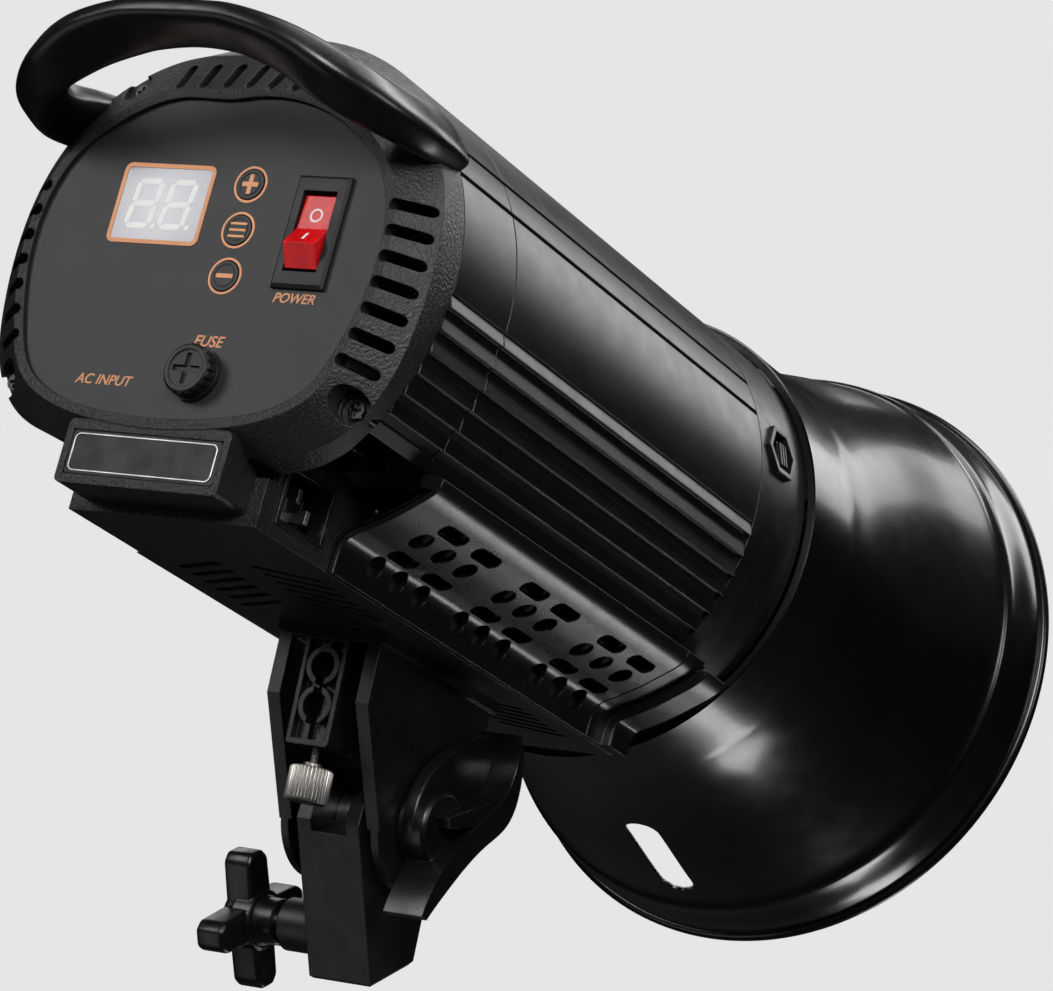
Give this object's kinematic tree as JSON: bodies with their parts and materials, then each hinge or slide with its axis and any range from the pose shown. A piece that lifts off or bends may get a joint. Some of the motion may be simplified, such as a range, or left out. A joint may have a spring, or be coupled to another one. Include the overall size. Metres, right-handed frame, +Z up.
{
  "type": "studio monolight",
  "caption": "Studio LED monolight with a bayonet reflector, rear control panel, carry handle and a tilting stand bracket with umbrella clamp.",
  "frame": {"origin": "centre of the mouth of the stand socket, on the underside of the bracket", "axes": "+Z up out of the stand, +Y the way the light points (the head is tilted nose-down), +X the operator's right"},
  "size_m": [0.2208, 0.4455, 0.3971],
  "materials": {
    "grained_black_plastic": "fine grained black moulding",
    "handle_plastic": "soft satin black moulding",
    "panel_sheet": "dark grey sheet",
    "panel_print": "matt dark grey film with orange print",
    "window_clear": "smoked clear window",
    "display_parts": "display module",
    "board_green": "printed circuit board",
    "button_rubber": "soft black button",
    "rocker_red": "glossy clear red",
    "black_gloss_plastic": "gloss black moulding",
    "contact_metal": "plated contacts",
    "steel": "zinc plated steel",
    "nickel": "nickel plated steel",
    "black_oxide": "black screws",
    "satin_black_shell": "satin black paint",
    "shell_plastic": "satin black moulding",
    "badge_grey": "smooth grey plate",
    "bare_aluminium": "extruded aluminium",
    "led_phosphor": "yellow emitter",
    "led_substrate": "white coated board",
    "cup_silver": "polished cup",
    "glass_clear": "frosted clear glass",
    "reflector_black": "satin black paint outside, silver inside",
    "bracket_black": "matt black coat",
    "receiver_black": "matt black casting",
    "knob_plastic": "black knob",
    "friction_fibre": "fibre washer"
  },
  "bodies": {
    "stand": {"receiver": "receiver_black", "socket_sleeve": "steel", "tilt_bolt": "steel", "bolt_spacer": "steel", "friction_discs": "friction_fibre"},
    "head": {"rear_bezel": "grained_black_plastic", "carry_handle": "handle_plastic", "control_panel": "panel_sheet", "panel_film": "panel_print", "display_window": "window_clear", "display_module": "display_parts", "button_board": "board_green", "switch_frame": "black_gloss_plastic", "rocker_pin": "steel", "switch_terminals": "contact_metal", "fuse_holder": "black_gloss_plastic", "fuse_link": "contact_metal", "badge_plate": "badge_grey", "bezel_screws": "black_oxide", "rear_collar": "shell_plastic", "main_barrel": "satin_black_shell", "front_ring": "shell_plastic", "latch_housing": "shell_plastic", "latch_spring": "steel", "bottom_tray": "grained_black_plastic", "side_cover_right": "grained_black_plastic", "side_cover_left": "grained_black_plastic", "front_cap_right": "grained_black_plastic", "front_cap_left": "grained_black_plastic", "front_bridge": "grained_black_plastic", "mains_inlet": "black_gloss_plastic", "inlet_pins": "contact_metal", "driver_board": "board_green", "driver_parts": "display_parts", "control_board": "board_green", "fan_frame": "display_parts", "heat_sink": "bare_aluminium", "led_board": "led_substrate", "led_emitter": "led_phosphor", "led_cup": "cup_silver", "front_plate": "shell_plastic", "glass_dome": "glass_clear", "bayonet_mount": "bare_aluminium", "cradle": "bracket_black", "cradle_bolts": "black_oxide", "umbrella_clamp": "bracket_black"},
    "up_button": {"button_up": "button_rubber"},
    "mode_button": {"button_mode": "button_rubber"},
    "down_button": {"button_down": "button_rubber"},
    "rocker": {"power_rocker": "rocker_red"},
    "fuse_carrier": {"fuse_cap": "black_gloss_plastic"},
    "fan": {"fan_rotor": "display_parts"},
    "latch": {"release_latch": "shell_plastic"},
    "reflector": {"reflector_bowl": "reflector_black", "reflector_bayonet": "bare_aluminium"},
    "umbrella_lock": {"umbrella_screw": "nickel"},
    "lever": {"tilt_lever": "knob_plastic"},
    "socket_knob": {"star_knob": "knob_plastic", "knob_stud": "steel"}
  },
  "joints": [
    {"name": "head_tilt", "type": "hinge", "parent": "stand", "child": "head", "pos_m": [0, 0.01, 0.05], "axis": [1, 0, 0], "range_deg": [-50, 55]},
    {"name": "lever_turn", "type": "hinge", "parent": "stand", "child": "lever", "pos_m": [0.028, 0.01, 0.05], "axis": [1, 0, 0], "range_deg": [0, 70]},
    {"name": "socket_knob_turn", "type": "hinge", "parent": "stand", "child": "socket_knob", "pos_m": [-0.04, 0, 0.013], "axis": [1, 0, 0], "range_deg": [0, 720]},
    {"name": "umbrella_lock_turn", "type": "hinge", "parent": "head", "child": "umbrella_lock", "pos_m": [0, -0.02102, 0.07114], "axis": [0, 0.4818, 0.8763], "range_deg": [0, 720]},
    {"name": "up_button_press", "type": "slide", "parent": "head", "child": "up_button", "axis": [0, 0.829, -0.5592], "range_m": [0, 0.0005], "stiffness_N_per_m": 400, "springref_m": -0.0002},
    {"name": "mode_button_press", "type": "slide", "parent": "head", "child": "mode_button", "axis": [0, 0.829, -0.5592], "range_m": [0, 0.0005], "stiffness_N_per_m": 400, "springref_m": -0.0002},
    {"name": "down_button_press", "type": "slide", "parent": "head", "child": "down_button", "axis": [0, 0.829, -0.5592], "range_m": [0, 0.0005], "stiffness_N_per_m": 400, "springref_m": -0.0002},
    {"name": "power_rocker_tip", "type": "hinge", "parent": "head", "child": "rocker", "pos_m": [0.0392, -0.0471, 0.25936], "axis": [1, 0, 0], "range_deg": [0, 16]},
    {"name": "fuse_cap_turn", "type": "hinge", "parent": "head", "child": "fuse_carrier", "pos_m": [0.0106, -0.07964, 0.22292], "axis": [0, -0.829, 0.5592], "range_deg": [0, 90]},
    {"name": "fan_spin", "type": "hinge", "parent": "head", "child": "fan", "pos_m": [0, 0.0304, 0.20008], "axis": [0, 0.829, -0.5592], "continuous": true},
    {"name": "latch_slide", "type": "slide", "parent": "head", "child": "latch", "axis": [0, -0.829, 0.5592], "range_m": [0, 0.003], "stiffness_N_per_m": 300, "springref_m": -0.0003},
    {"name": "reflector_twist", "type": "hinge", "parent": "head", "child": "reflector", "pos_m": [0, 0.17134, 0.10502], "axis": [0, 0.829, -0.5592], "range_deg": [0, 20]}
  ]
}
